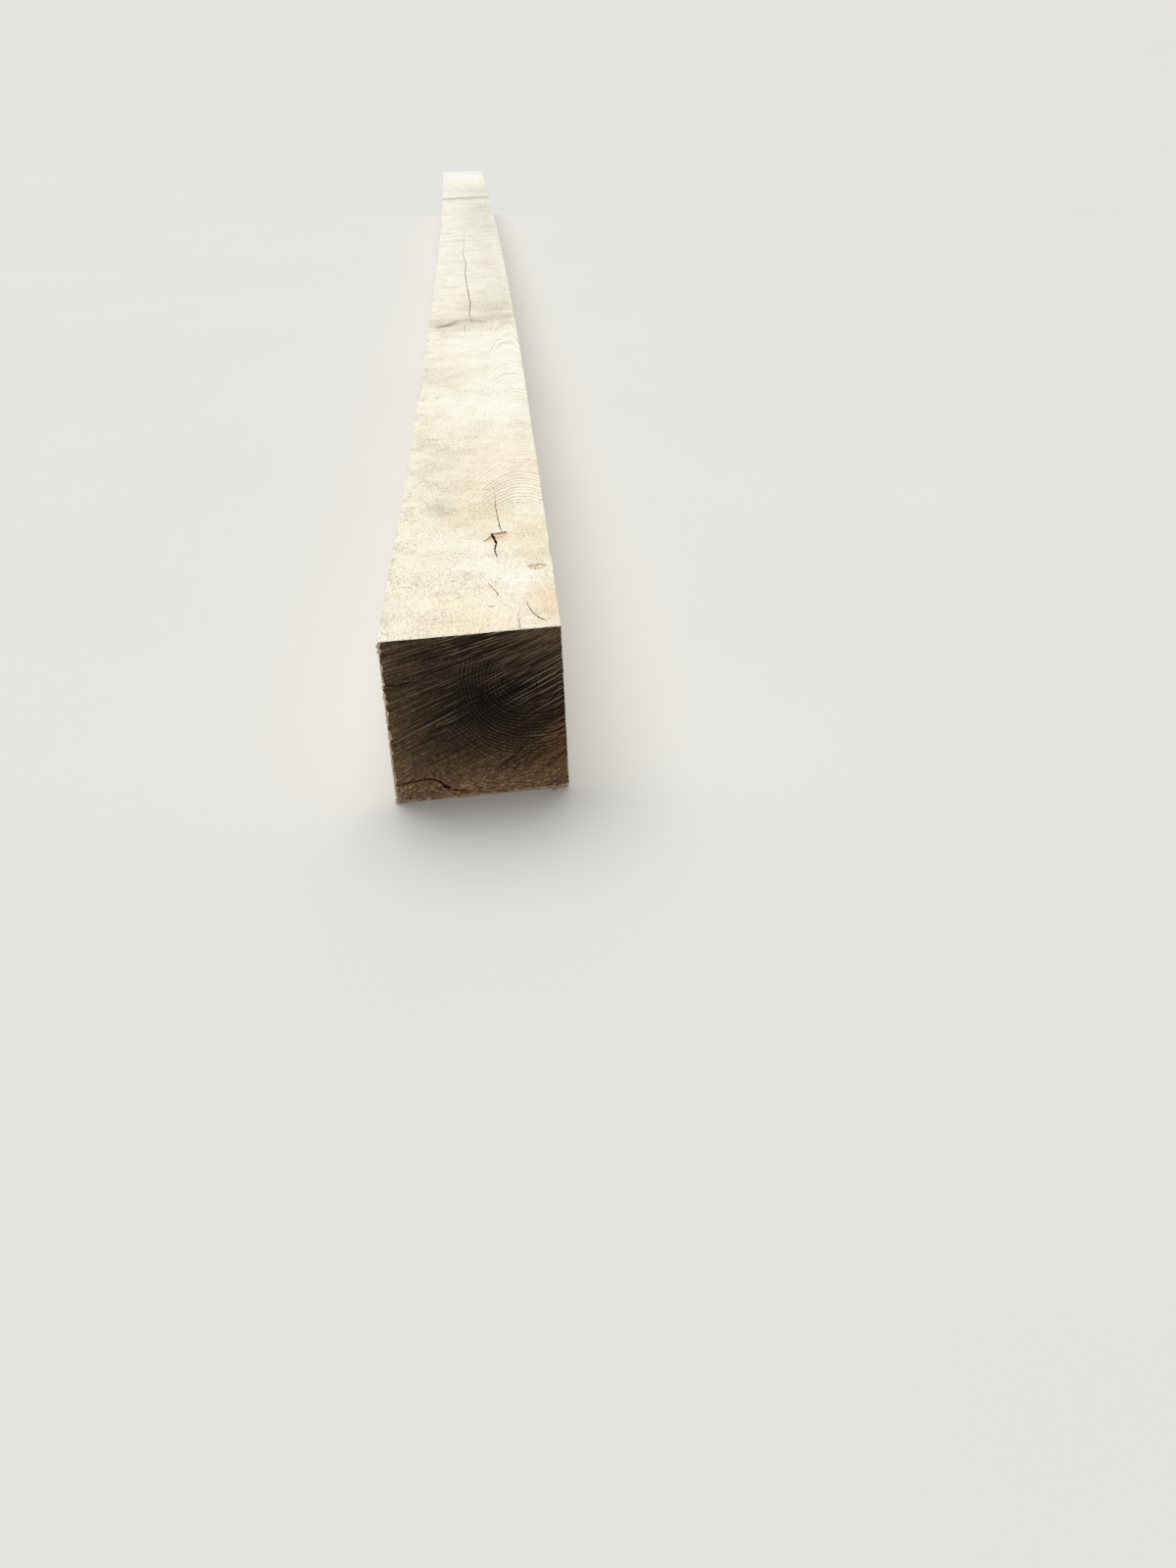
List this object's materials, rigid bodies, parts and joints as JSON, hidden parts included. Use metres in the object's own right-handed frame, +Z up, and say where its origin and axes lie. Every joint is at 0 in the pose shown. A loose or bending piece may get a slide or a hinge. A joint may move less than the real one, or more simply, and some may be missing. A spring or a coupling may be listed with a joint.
{
  "type": "rough oak beam",
  "caption": "Rough-sawn square oak beam, slightly crooked, with drying checks, a split knot and a shaken corner at its skewed front end.",
  "frame": {"origin": "on the plane it lies on, under the middle of the beam's box", "axes": "+Y along the beam, away from the skewed and shaken front end; +X across, towards the side that the crook bends out to; +Z up, out of the face with the split knot"},
  "size_m": [0.133, 3.5, 0.12],
  "materials": {
    "sawn_oak": "rough sawn, unfinished"
  },
  "bodies": {
    "root": {"beam": "sawn_oak"}
  },
  "joints": []
}
